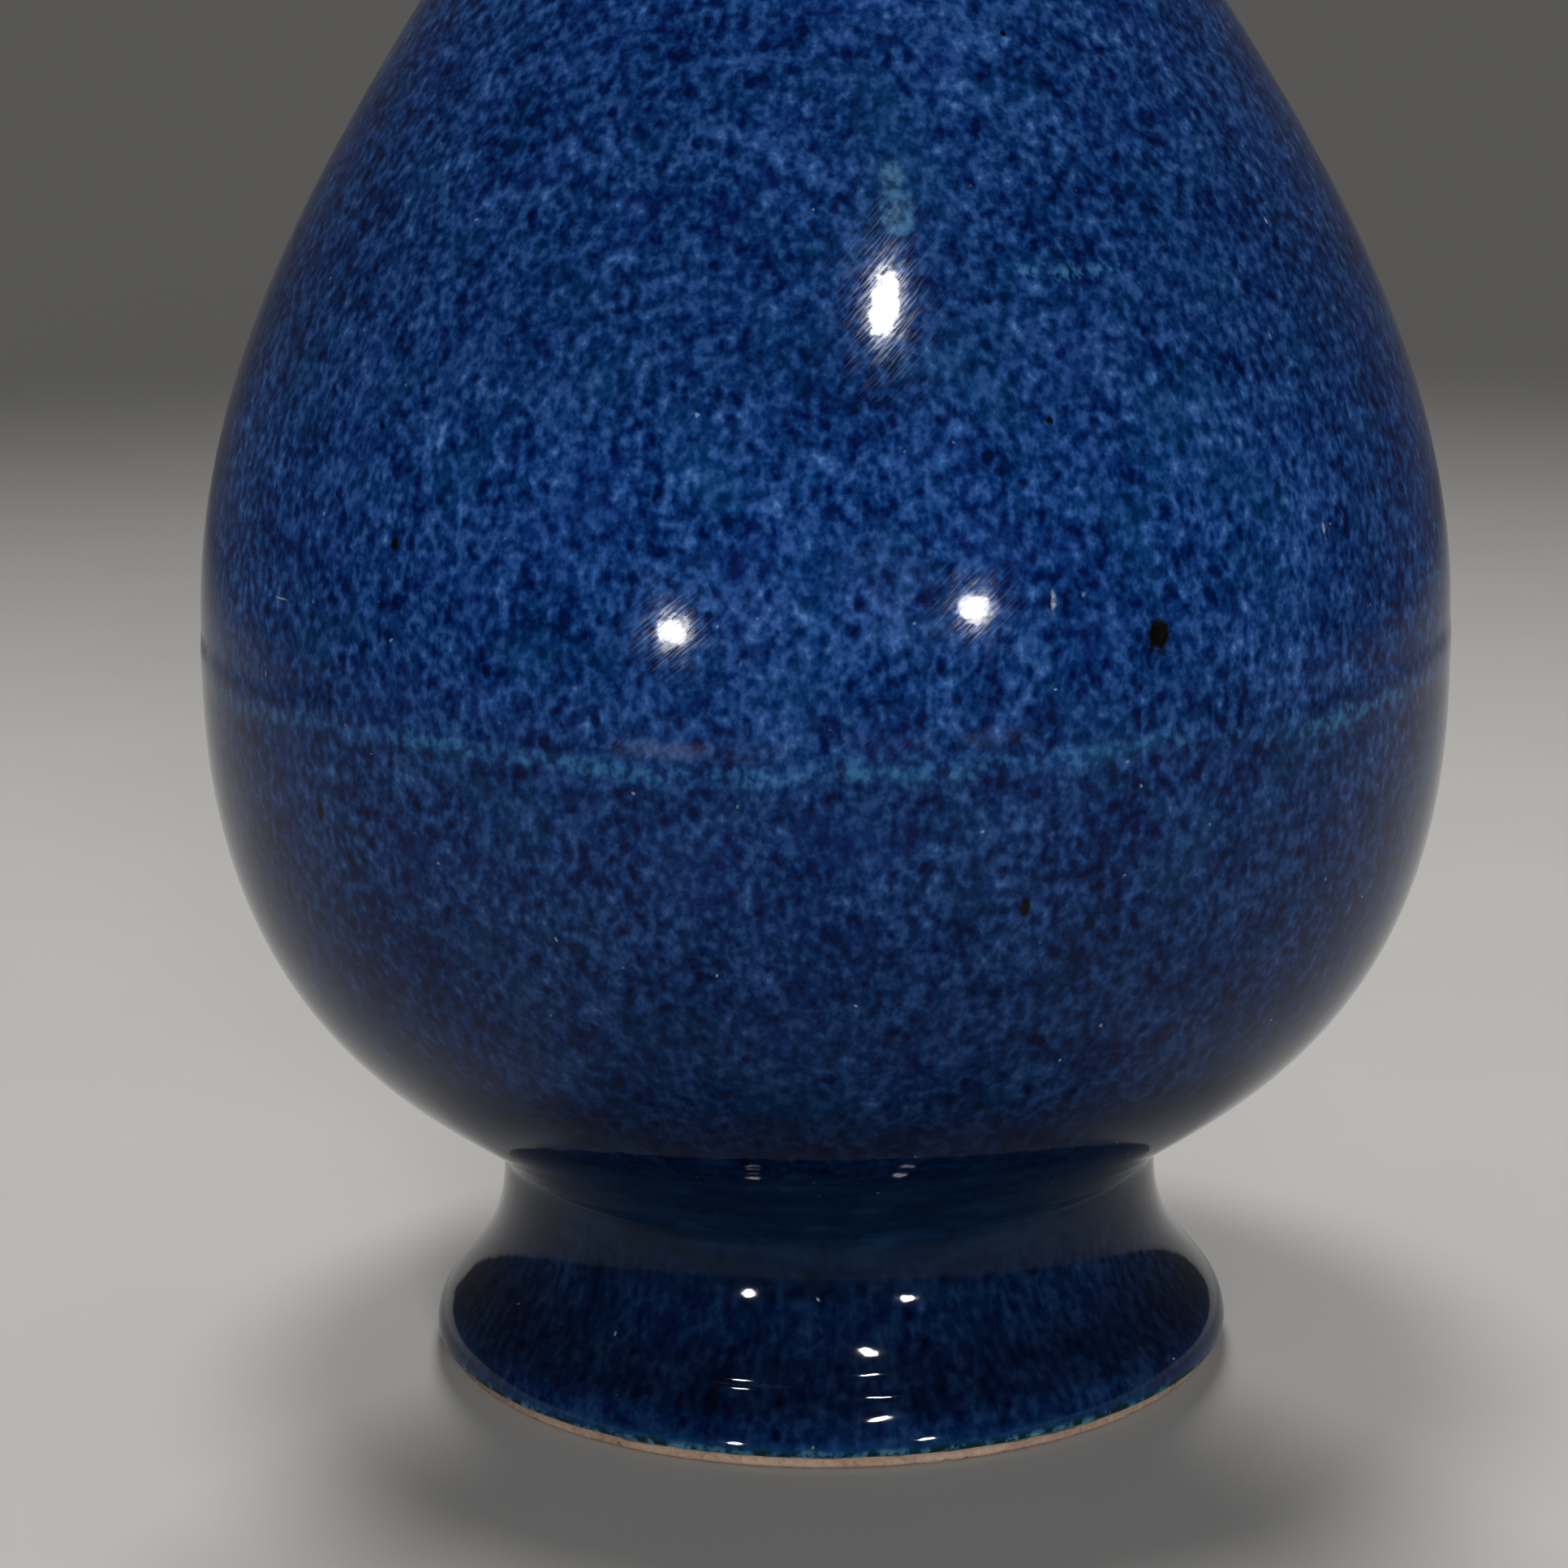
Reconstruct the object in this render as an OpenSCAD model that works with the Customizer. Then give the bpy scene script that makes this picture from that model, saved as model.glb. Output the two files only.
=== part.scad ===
// Pear-shaped porcelain bottle vase on a high splayed foot.
// Four thrown and turned clay sections are stacked on one axis and joined with slip.
// A blue coat covers the outside, and clear coats cover the inside and the hollow of the foot.
// All curves are drawn as [radius, height] and turned about the upright axis.

/* [Foot] */
// Diameter of the clay edge that stands on the table
rim_d = 122; // [110:0.5:130]
// Width of the flat, bare face under the foot
rim_w = 6; // [4:0.5:10]
// Radius of the worn edges of the bare face
rim_round = 0.8; // [0.4:0.1:1.2]
// Height of bare clay left below the blue coat
bare_edge_h = 1.8; // [1.4:0.1:3]
// Height of bare clay left below the clear coat in the hollow
bare_hollow_h = 3; // [1.5:0.1:5]
// Widest diameter of the foot
foot_d = 124; // [112:0.2:134]
// Height of the widest part of the foot above its bare edge
foot_bulge_rise = 1.1; // [0.8:0.1:4]
// How far the foot keeps upright above its widest part
foot_flare = 8; // [4:0.5:10]
// How far the foot keeps upright below the waist
foot_sweep = 17; // [6:0.5:18]
// Thickness of the foot's wall at the waist
foot_wall = 8; // [6:0.5:12]

/* [Belly] */
// Diameter of the waist between foot and belly
waist_d = 101.5; // [90:0.5:110]
// Height of the waist
waist_z = 30; // [27:0.5:36]
// How far the belly keeps upright above the waist
waist_turn = 10; // [7:0.5:12]
// Widest diameter of the belly
belly_d = 189; // [165:0.5:210]
// Height of the widest part, where the two halves meet
belly_z = 112; // [104:0.5:122]
// How far the lower half keeps upright below the widest part
belly_low_turn = 60.5; // [50:0.5:66]
// How far the upper half keeps upright above the widest part
belly_high_turn = 39; // [28:1:48]
// Thickness of the floor of the vase
floor_t = 7; // [5:0.5:10]
// Thickness of the lower wall where it rises from the floor
low_wall = 5.6; // [4.5:0.1:7]
// Thickness of the wall at the widest part
belly_wall = 4.6; // [3.5:0.1:6]

/* [Neck] */
// Diameter of the shoulder where the neck is joined on
shoulder_d = 94; // [84:0.5:104]
// Height of that joint
shoulder_z = 226.5; // [215:0.5:240]
// Lean of the shoulder at that joint, from upright, in degrees
shoulder_lean = 33.5; // [28:0.5:38]
// How far the shoulder keeps straight below the joint
shoulder_run = 38; // [28:1:48]
// Thickness of the wall at that joint
shoulder_wall = 4.2; // [3.4:0.1:5.5]
// How far the neck keeps straight above the joint
neck_run = 20; // [12:1:26]
// Diameter of the neck at its narrowest
neck_d = 50; // [42:0.5:58]
// Height of the narrowest part
neck_z = 284; // [274:0.5:292]
// How far the neck keeps upright below its narrowest part
neck_low_turn = 22; // [12:1:28]
// How far the neck keeps upright above its narrowest part
neck_high_turn = 17; // [8:1:22]
// Thickness of the neck's wall at its narrowest
neck_wall = 3.8; // [3:0.1:5]
// Diameter of the mouth over the lip
mouth_d = 87; // [74:0.5:100]
// Height of the clay from the table to the lip
height = 322; // [310:0.5:335]
// Lean of the mouth at the lip, from upright, in degrees
mouth_lean = 58; // [45:1:66]
// How far the mouth keeps straight below the lip
mouth_run = 12; // [6:1:16]
// Thickness of the lip
lip_t = 3; // [2.4:0.1:4]

/* [Slip joints] */
// Thickness of the slip between two sections
lute_t = 1.2; // [0.8:0.1:2]
// Rise of the bevelled seat between outside and inside
seat_rise = 1.6; // [0.8:0.1:3]
// Radius of the slip wiped into the corner under the floor
lute_fillet = 3.2; // [2.4:0.1:5]
// Length of wall covered by the bead of slip inside, on each side of a joint
bead_reach = 3.6; // [2.5:0.1:5]
// Height of the bead of slip inside
bead_proud = 1.2; // [0.6:0.1:2]
// Length of wall covered by the smear of slip outside the belly, on each side of the joint
smear_reach = 2; // [1.2:0.1:3]
// Height of the smear of slip outside the belly
smear_proud = 0.25; // [0.1:0.05:0.5]

/* [Glaze] */
// Thickness of the blue coat
blue_t = 0.6; // [0.4:0.05:0.9]
// Thickness of the clear coats
clear_t = 0.4; // [0.25:0.05:0.6]
// Thickness of a coat where it thins out at the bare clay
feather_t = 0.15; // [0.1:0.05:0.25]

/* [Hidden] */
$fn = 96;

// Steps along each long curve, each short curve and each rounded edge
long_steps = 22;
short_steps = 10;
round_steps = 6;
// Place along the lower half's curve where the wall leaves the rounded floor
floor_meets_wall = 0.42;
// Share of the way down to the floor at which the wall's line starts to bend
floor_bend = 0.9;

rim_r = rim_d / 2;
hollow_r = rim_r - rim_w;
foot_r = foot_d / 2;
waist_r = waist_d / 2;
belly_r = belly_d / 2;
shoulder_r = shoulder_d / 2;
neck_r = neck_d / 2;
lip_r = lip_t / 2;

// Unit vector at an angle from the radius direction
function ray(angle) = [cos(angle), sin(angle)];
function unit(v) = v / norm(v);
function flip(list) = [for (i = [len(list) - 1 : -1 : 0]) list[i]];
function tail(list) = [for (i = [1 : 1 : len(list) - 1]) list[i]];

// A path is a list of [point, outward normal], and always runs upwards on the outside.
function bezier(a, b, c, d, t) =
    pow(1 - t, 3) * a + 3 * pow(1 - t, 2) * t * b + 3 * (1 - t) * t * t * c + pow(t, 3) * d;
function heading(a, b, c, d, t) =
    unit(pow(1 - t, 2) * (b - a) + 2 * (1 - t) * t * (c - b) + t * t * (d - c));
function curve(a, b, c, d, steps, from = 0) = [
    for (i = [0 : steps])
        let (t = from + (1 - from) * i / steps, h = heading(a, b, c, d, t))
        [bezier(a, b, c, d, t), [h.y, -h.x]]
];
function join(paths) = [for (i = [0 : len(paths) - 1]) each i == 0 ? paths[i] : tail(paths[i])];
// Points of a path moved along its normals, by a depth that changes evenly from one end to the other
function coat(path, depth, end_depth = undef) = [
    for (i = [0 : len(path) - 1])
        let (last = is_undef(end_depth) ? depth : end_depth)
        path[i][0] + (depth + (last - depth) * i / (len(path) - 1)) * path[i][1]
];
function arc(centre, radius, from, to) = [
    for (i = [0 : round_steps]) centre + radius * ray(from + (to - from) * i / round_steps)
];

// Each joint between two walls has a middle point on the outside and a direction along the wall.
belly_joint = [belly_r, belly_z];
belly_up = [0, 1];
shoulder_joint = [shoulder_r, shoulder_z];
shoulder_up = ray(90 + shoulder_lean);
function outward(up) = [up.y, -up.x];
// The wall stays straight for this far on each side of a joint.
land = seat_rise + bead_reach;
// Point on a bevelled seat: depth 0 is outside, side -1 is the section below and 1 the one above
function seat(joint, up, depth, wall, side) =
    joint - depth * outward(up) + (side * lute_t / 2 + seat_rise * depth / wall) * up;
// Point on the inner wall, measured along the wall from the middle of the joint
function inner(joint, up, wall, along) = joint - wall * outward(up) + (seat_rise + along) * up;

// Foot
foot_bulge_z = bare_edge_h + foot_bulge_rise;
foot_seat_z = waist_z - lute_t / 2;
base_seat_z = waist_z + lute_t / 2;
ring_r = waist_r - foot_wall;
under_z = base_seat_z + seat_rise;
edge_path = curve(
    [rim_r, bare_edge_h], [rim_r, bare_edge_h + (foot_bulge_z - bare_edge_h) / 3],
    [foot_r, foot_bulge_z - (foot_bulge_z - bare_edge_h) / 2], [foot_r, foot_bulge_z], short_steps
);
flare_path = curve(
    [foot_r, foot_bulge_z], [foot_r, foot_bulge_z + foot_flare],
    [waist_r, foot_seat_z - foot_sweep], [waist_r, foot_seat_z], long_steps
);
hollow_top = [ring_r, under_z - lute_fillet];
hollow_path = curve(
    [hollow_r, bare_hollow_h], [hollow_r, bare_hollow_h + foot_flare],
    hollow_top - [0, foot_sweep], hollow_top, long_steps
);
fillet_middle = [ring_r - lute_fillet, under_z - lute_fillet];

// Lower half
low_start = [waist_r, base_seat_z];
low_end = belly_joint - land * belly_up;
low_points = [low_start, low_start + [0, waist_turn], low_end - belly_low_turn * belly_up, low_end];
low_path = curve(low_points[0], low_points[1], low_points[2], low_points[3], long_steps);
wall_path =
    curve(low_points[0], low_points[1], low_points[2], low_points[3], long_steps, floor_meets_wall);
floor_z = under_z + floor_t;
wall_foot = wall_path[0][0] - low_wall * wall_path[0][1];
wall_up = [-wall_path[0][1].y, wall_path[0][1].x];
// The floor's curve meets the line of the wall just above the floor.
floor_corner = wall_foot - floor_bend * (wall_foot.y - floor_z) / wall_up.y * wall_up;
floor_path = curve([0, floor_z], [floor_corner.x, floor_z], floor_corner, wall_foot, short_steps);

// Upper half
high_start = belly_joint + land * belly_up;
high_end = shoulder_joint - land * shoulder_up;
high_path = curve(
    high_start, high_start + belly_high_turn * belly_up,
    high_end - shoulder_run * shoulder_up, high_end, long_steps
);

// Neck and mouth
neck_start = shoulder_joint + land * shoulder_up;
neck_waist = [neck_r, neck_z];
lip_middle = [mouth_d / 2 - lip_r, height - lip_r];
lip_out = ray(-mouth_lean);
lip_start = lip_middle + lip_r * lip_out;
mouth_up = ray(90 - mouth_lean);
neck_path = curve(
    neck_start, neck_start + neck_run * shoulder_up,
    neck_waist - [0, neck_low_turn], neck_waist, long_steps
);
mouth_path = curve(
    neck_waist, neck_waist + [0, neck_high_turn],
    lip_start - mouth_run * mouth_up, lip_start, long_steps
);
lip_arc = arc(lip_middle, lip_r, 180 - mouth_lean, -mouth_lean);
lip_coat = arc(lip_middle, lip_r + clear_t, 180 - mouth_lean, -mouth_lean);

// Inner faces of the walls, from the floor upwards, raised further by the coat that covers them
function low_inside(raise = 0) = concat(
    coat(floor_path, -raise),
    tail(coat(wall_path, -low_wall - raise, -belly_wall - raise))
);
function high_inside(raise = 0) = coat(high_path, -belly_wall - raise, -shoulder_wall - raise);
function neck_inside(raise = 0) = concat(
    coat(neck_path, -shoulder_wall - raise, -neck_wall - raise),
    tail(coat(mouth_path, -neck_wall - raise, -lip_t - raise))
);

// Swell of the bead inside a joint, raised further by the coat that covers it
function bead(joint, up, wall, raise = 0) = [
    for (i = [-short_steps : short_steps])
        let (swell = bead_proud * (1 + cos(180 * i / short_steps)) / 2)
        inner(joint, up, wall + swell + raise, bead_reach * i / short_steps)
];

function inside(raise) = concat(
    low_inside(raise),
    bead(belly_joint, belly_up, belly_wall, raise),
    tail(high_inside(raise)),
    bead(shoulder_joint, shoulder_up, shoulder_wall, raise),
    tail(neck_inside(raise))
);

// Smear of slip outside the belly's joint, raised further by the coat that covers it
function smear(raise = 0) = [
    for (i = [-round_steps : round_steps])
        let (swell = smear_proud * (1 + cos(180 * i / round_steps)) / 2)
        belly_joint + (swell + raise) * outward(belly_up) + smear_reach * i / round_steps * belly_up
];

module turned(outline) {
    rotate_extrude() polygon(outline);
}

// Slip between two walls, with a bead squeezed out inside and, where given, a smear outside
module lute(joint, up, wall, outside = []) {
    turned(concat(
        [seat(joint, up, 0, wall, -1)],
        outside,
        [seat(joint, up, 0, wall, 1), seat(joint, up, wall, wall, 1)],
        flip(bead(joint, up, wall)),
        [seat(joint, up, wall, wall, -1)]
    ));
}

module foot_ring() {
    color("#c9b298")
    turned(concat(
        arc([rim_r - rim_round, rim_round], rim_round, -90, 0),
        coat(join([edge_path, flare_path]), 0),
        [[ring_r, foot_seat_z + seat_rise]],
        flip(coat(hollow_path, 0)),
        arc([hollow_r + rim_round, rim_round], rim_round, 180, 270)
    ));
}

module lower_body() {
    color("#e6e0d6")
    turned(concat(
        coat(low_path, 0),
        [seat(belly_joint, belly_up, 0, belly_wall, -1)],
        [seat(belly_joint, belly_up, belly_wall, belly_wall, -1)],
        flip(low_inside()),
        [[0, under_z], [ring_r, under_z]]
    ));
}

module upper_body() {
    color("#e9e4db")
    turned(concat(
        [seat(belly_joint, belly_up, 0, belly_wall, 1)],
        coat(high_path, 0),
        [seat(shoulder_joint, shoulder_up, 0, shoulder_wall, -1)],
        [seat(shoulder_joint, shoulder_up, shoulder_wall, shoulder_wall, -1)],
        flip(high_inside()),
        [seat(belly_joint, belly_up, belly_wall, belly_wall, 1)]
    ));
}

module neck() {
    color("#ece7df")
    turned(concat(
        [seat(shoulder_joint, shoulder_up, 0, shoulder_wall, 1)],
        coat(join([neck_path, mouth_path]), 0),
        tail(flip(lip_arc)),
        tail(flip(neck_inside())),
        [seat(shoulder_joint, shoulder_up, shoulder_wall, shoulder_wall, 1)]
    ));
}

module foot_lute() {
    color("#b9a58c")
    turned(concat(
        [[waist_r, foot_seat_z], [waist_r, base_seat_z], [ring_r, under_z]],
        arc(fillet_middle, lute_fillet, 90, 0),
        [[ring_r, foot_seat_z + seat_rise]]
    ));
}

module belly_lute() {
    color("#bfae97")
    lute(belly_joint, belly_up, belly_wall, smear());
}

module neck_lute() {
    color("#c4b49f")
    lute(shoulder_joint, shoulder_up, shoulder_wall);
}

module outer_glaze() {
    color("#1f4f8f")
    turned(concat(
        coat(join([edge_path, flare_path]), 0),
        coat(low_path, 0),
        smear(),
        coat(high_path, 0),
        coat(join([neck_path, mouth_path]), 0),
        flip(coat(mouth_path, blue_t, clear_t)),
        tail(flip(coat(neck_path, blue_t))),
        flip(coat(high_path, blue_t)),
        flip(smear(blue_t)),
        flip(coat(low_path, blue_t)),
        flip(coat(flare_path, blue_t)),
        tail(flip(coat(edge_path, feather_t, blue_t)))
    ));
}

module inner_glaze() {
    color("#dfe6e4")
    turned(concat(
        inside(0),
        tail(lip_arc),
        flip(lip_coat),
        tail(flip(inside(clear_t)))
    ));
}

module base_glaze() {
    color("#dbe2e0")
    turned(concat(
        coat(hollow_path, 0),
        tail(flip(arc(fillet_middle, lute_fillet, 90, 0))),
        [[0, under_z], [0, under_z - clear_t]],
        arc(fillet_middle, lute_fillet - clear_t, 90, 0),
        tail(flip(coat(hollow_path, -feather_t, -clear_t)))
    ));
}

foot_ring();
lower_body();
upper_body();
neck();
foot_lute();
belly_lute();
neck_lute();
outer_glaze();
inner_glaze();
base_glaze();
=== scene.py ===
import math

import bmesh
import bpy
import numpy as np
from mathutils import Matrix, Quaternion, Vector, noise


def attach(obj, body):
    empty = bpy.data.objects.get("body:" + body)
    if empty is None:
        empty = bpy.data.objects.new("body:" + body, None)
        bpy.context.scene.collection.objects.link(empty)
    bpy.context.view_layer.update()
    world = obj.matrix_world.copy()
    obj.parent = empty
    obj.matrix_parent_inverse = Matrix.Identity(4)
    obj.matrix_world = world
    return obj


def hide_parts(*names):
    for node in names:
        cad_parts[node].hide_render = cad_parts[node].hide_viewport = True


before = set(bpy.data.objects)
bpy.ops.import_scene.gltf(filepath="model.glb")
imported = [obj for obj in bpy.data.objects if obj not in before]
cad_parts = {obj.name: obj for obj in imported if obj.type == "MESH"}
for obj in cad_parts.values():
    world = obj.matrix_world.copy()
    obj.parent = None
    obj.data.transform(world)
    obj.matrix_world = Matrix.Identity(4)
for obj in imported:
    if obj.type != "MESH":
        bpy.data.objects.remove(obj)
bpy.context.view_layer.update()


# Foot ring
# A splayed ring of the same porcelain clay as the bowl, thrown apart and turned true on the wheel.
# Its edge is wiped clean of glaze so that it can't stick to the kiln shelf. The bare clay there
# fires to a buff biscuit, which years on tables have worn smooth and chipped a little.

# Sizes are in mm, and a point is [radius, height] from the middle of the foot on the table.
rim_r = 61.0
rim_w = 6.0
rim_round = 0.8
bare_edge_z = 1.8
bare_hollow_z = 3.0
foot_r = 62.0
foot_bulge_z = 2.9
foot_flare = 8.0
foot_sweep = 17.0
foot_wall = 8.0
waist_r = 50.75
waist_z = 30.0
lute_t = 1.2
lute_fillet = 3.2
seat_rise = 1.6
hollow_r = rim_r - rim_w
ring_r = waist_r - foot_wall
foot_seat_z = waist_z - lute_t / 2
under_z = waist_z + lute_t / 2 + seat_rise


def curve(a, b, c, d, steps, start=0.0):
    """Points along a drawn curve of [radius, height], and the normals on its right-hand side."""
    a, b, c, d = (np.array(p, float) for p in (a, b, c, d))
    t = np.linspace(start, 1, steps + 1)[:, None]
    points = (1 - t) ** 3 * a + 3 * (1 - t) ** 2 * t * b + 3 * (1 - t) * t * t * c + t ** 3 * d
    along = (1 - t) ** 2 * (b - a) + 2 * (1 - t) * t * (c - b) + t * t * (d - c)
    along /= np.linalg.norm(along, axis=1, keepdims=True)
    return points, np.stack([along[:, 1], -along[:, 0]], 1)


def raised(path, thickness_and_shade, end_depth=None):
    """Points of a path moved along its normals, by a depth that may change from end to end."""
    points, normals = path
    last = thickness_and_shade if end_depth is None else end_depth
    return points + np.linspace(thickness_and_shade, last, len(points))[:, None] * normals


def arc(middle, radius, start, end, steps=8):
    """Points on part of a circle, between two angles in degrees."""
    angles = np.radians(np.linspace(start, end, steps + 1))
    return np.array(middle) + radius * np.stack([np.cos(angles), np.sin(angles)], 1)


def turns(around):
    """Angles of the points round a turned piece."""
    return np.arange(around) * 2 * math.pi / around


def waver(angles, swells, draw):
    """Uneven numbers from -1 to 1 round the pot, with about so many swells in one turn."""
    reach = swells / (2 * math.pi)
    return np.array([noise.noise((reach * math.cos(a), reach * math.sin(a), draw)) for a in angles])


def rings(outline, around):
    """Radius and height of each point of an outline, repeated round the pot."""
    return np.repeat(outline[:, None, :], around, axis=1).transpose(2, 0, 1).copy()


def turned(name, r, z):
    """Closed smooth mesh in metres, from rings in mm that follow one closed outline."""
    rows, around = r.shape
    angles = turns(around)
    points = np.stack([r * np.cos(angles), r * np.sin(angles), z], -1).reshape(-1, 3) / 1000
    here = np.arange(rows * around).reshape(rows, around)
    beside = np.roll(here, -1, 1)
    faces = np.stack([here, beside, np.roll(beside, -1, 0), np.roll(here, -1, 0)], -1)
    mesh = bpy.data.meshes.new(name)
    mesh.from_pydata(points.tolist(), [], faces.reshape(-1, 4).tolist())
    shape = bmesh.new()
    shape.from_mesh(mesh)
    # Rings that lie on the axis shrink to one point each.
    on_axis = 1e-6
    middle = [v for v in shape.verts if v.co.xy.length < on_axis]
    bmesh.ops.remove_doubles(shape, verts=middle, dist=on_axis)
    bmesh.ops.delete(shape, geom=[e for e in shape.edges if not e.link_faces], context="EDGES")
    shape.to_mesh(mesh)
    shape.free()
    mesh.shade_smooth()
    piece = bpy.data.objects.new(name, mesh)
    bpy.context.scene.collection.objects.link(piece)
    return piece


def linear(code):
    """Linear colour from an sRGB hex value."""
    parts = [int(code[i:i + 2], 16) / 255 for i in (1, 3, 5)]
    return [c / 12.92 if c <= 0.04045 else ((c + 0.055) / 1.055) ** 2.4 for c in parts] + [1]


def add(tree, kind, inputs=(), out=0, stops=(), **settings):
    """Adds a node with its settings, values, links and the stops of its ramp or curve; gives one output."""
    # Sockets go by name, or by number where names repeat. A MapRange takes 0 from between 1 and 2 to
    # between 3 and 4. A Mix goes by 0 from 2 to 3 for numbers, and from 6 to 7 for colours.
    made = tree.nodes.new("ShaderNode" + kind)
    for key, value in settings.items():
        setattr(made, key, value)
    for key, value in dict(inputs).items():
        if isinstance(value, bpy.types.NodeSocket):
            tree.links.new(value, made.inputs[key])
        else:
            made.inputs[key].default_value = value
    if stops and kind == "ValToRGB":
        held = made.color_ramp.elements
        held.remove(held[1])
        for i, (place, colour) in enumerate(stops):
            stop = held[0] if i == 0 else held.new(place)
            stop.position = place
            stop.color = linear(colour)
    elif stops:
        held = made.mapping.curves[0].points
        for i, (place, height) in enumerate(stops):
            stop = held[i] if i < 2 else held.new(place, height)
            stop.location = place, height
        made.mapping.update()
    return made if out is None else made.outputs[out]


def new_finish(name):
    """New material, its nodes, its shader and places in mm, where a scale is 1 over a size in mm."""
    made = bpy.data.materials.new(name)
    made.use_nodes = True
    tree = made.node_tree
    mm = add(tree, "VectorMath", {0: add(tree, "TexCoord", out="Object"), "Scale": 1000},
             operation="SCALE")
    return made, tree, tree.nodes["Principled BSDF"], mm


edge_path = curve(
    [rim_r, bare_edge_z], [rim_r, bare_edge_z + (foot_bulge_z - bare_edge_z) / 3],
    [foot_r, (foot_bulge_z + bare_edge_z) / 2], [foot_r, foot_bulge_z], steps=10)
flare_points = [
    [foot_r, foot_bulge_z], [foot_r, foot_bulge_z + foot_flare],
    [waist_r, foot_seat_z - foot_sweep], [waist_r, foot_seat_z]]
flare_path = curve(*flare_points, steps=40)
hollow_top = [ring_r, under_z - lute_fillet]
hollow_path = curve(
    [hollow_r, bare_hollow_z], [hollow_r, bare_hollow_z + foot_flare],
    [ring_r, hollow_top[1] - foot_sweep], hollow_top, steps=40)

foot_outside = np.concatenate([
    arc([rim_r - rim_round, rim_round], rim_round, -90, 0),
    raised(edge_path, 0),
    raised(flare_path, 0)[1:],
])
foot_outline = np.concatenate([
    foot_outside,
    [[ring_r, foot_seat_z + seat_rise]],
    raised(hollow_path, 0)[::-1],
    arc([hollow_r + rim_round, rim_round], rim_round, 180, 270),
])
# The turning tool left a steep facet in the splay. The splay lies further in below it and further
# out above it, most of all on one side of the foot.
facet_low = 9.9
facet_high = 13.3
facet_depth = 0.8
facet_start = 3.0
facet_end = 29.0
facet_side = math.radians(-100)
facet_narrowing = 7


def tool_facet(z, angles):
    """How far the steep facet moves the splay of the foot outwards, at some heights and angles."""
    swing = np.clip((z - facet_low) / (facet_high - facet_low), 0, 1)
    swing = 2 * swing ** 2 * (3 - 2 * swing) - 1
    rise = (z - facet_start) / (facet_low - facet_start)
    fall = (facet_end - z) / (facet_end - facet_high)
    side = ((1 + np.cos(angles - facet_side)) / 2) ** facet_narrowing
    return facet_depth * swing * np.clip(np.minimum(rise, fall), 0, 1) * side


foot_around = 384
foot_angles = turns(foot_around)
r, z = rings(foot_outline, foot_around)
splay = slice(len(foot_outside))
r[splay] += tool_facet(z[splay], foot_angles)
# Small chips bite into the outer edge of the standing face, and wear makes its line waver.
chip_swells = 150
chip_whole = 0.3
chip_depth = 1.1
chip_reach = 1.3
chip_z = 0.2
chip_lift = 0.5
wear_swells = 30
wear_depth = 0.06
wear_top = 2.0
chips = np.clip(waver(foot_angles, chip_swells, draw=3.1) - chip_whole, 0, None) * chip_depth
bite = np.clip(1 - np.hypot(r - rim_r, z - chip_z) / chip_reach, 0, 1)
r -= chips * bite
z += chip_lift * chips * bite
r += wear_depth * waver(foot_angles, wear_swells, draw=8.4) * np.clip(1 - z / wear_top, 0, 1)
foot_ring = turned("foot_ring_biscuit", r, z)

# Buff porcelain biscuit: matt and sandy, warmer where it flashed beside the glaze, with dark
# specks of iron, and grey from tables on the face that it stands on.
biscuit, tree, shader, mm = new_finish("buff_porcelain_biscuit")
height = add(tree, "SeparateXYZ", {0: mm}, out="Z")
blotch = add(tree, "TexNoise", {"Vector": mm, "Scale": 1 / 11, "Detail": 3, "Roughness": 0.6})
sand = add(tree, "TexNoise", {"Vector": mm, "Scale": 1 / 0.8, "Detail": 2, "Roughness": 0.7})
tone = add(tree, "Mix", {0: 0.45, 2: blotch, 3: sand})
clay = add(tree, "ValToRGB", {0: tone},
           stops=[(0.3, "#675042"), (0.48, "#846e5e"), (0.7, "#9c8a7a")])
flash = add(tree, "MapRange", {0: height, 1: 1.0, 2: 2.0}, interpolation_type="SMOOTHSTEP")
flash = add(tree, "Math", {0: flash, 1: blotch}, operation="MULTIPLY")
clay = add(tree, "Mix", {0: flash, 6: clay, 7: linear("#7c5c45")}, out=2, data_type="RGBA")
grime = add(tree, "MapRange", {0: height, 1: 0.7, 2: 0.0, 4: 0.6}, interpolation_type="SMOOTHSTEP")
clay = add(tree, "Mix", {0: grime, 6: clay, 7: linear("#4c3e34")}, out=2, data_type="RGBA")
iron = add(tree, "TexVoronoi", {"Vector": mm, "Scale": 1 / 2.6})
iron = add(tree, "MapRange", {0: iron, 1: 0.16, 2: 0.08, 4: 0.85}, interpolation_type="SMOOTHSTEP")
clay = add(tree, "Mix", {0: iron, 6: clay, 7: linear("#4a3426")}, out=2, data_type="RGBA")
tree.links.new(clay, shader.inputs["Base Color"])
tree.links.new(add(tree, "MapRange", {0: sand, 3: 0.7, 4: 0.92}), shader.inputs["Roughness"])
tree.links.new(add(tree, "Bump", {"Height": sand, "Distance": 0.00012, "Strength": 0.7}),
               shader.inputs["Normal"])
foot_ring.data.materials.append(biscuit)
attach(foot_ring, "root")
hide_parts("foot_ring")


# Lower body, upper body and neck
# Three thrown sections of white porcelain clay: the bowl with its floor, the dome of the upper
# belly and the neck with its mouth. They are trimmed leather hard, and glaze covers all of them.

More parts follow.
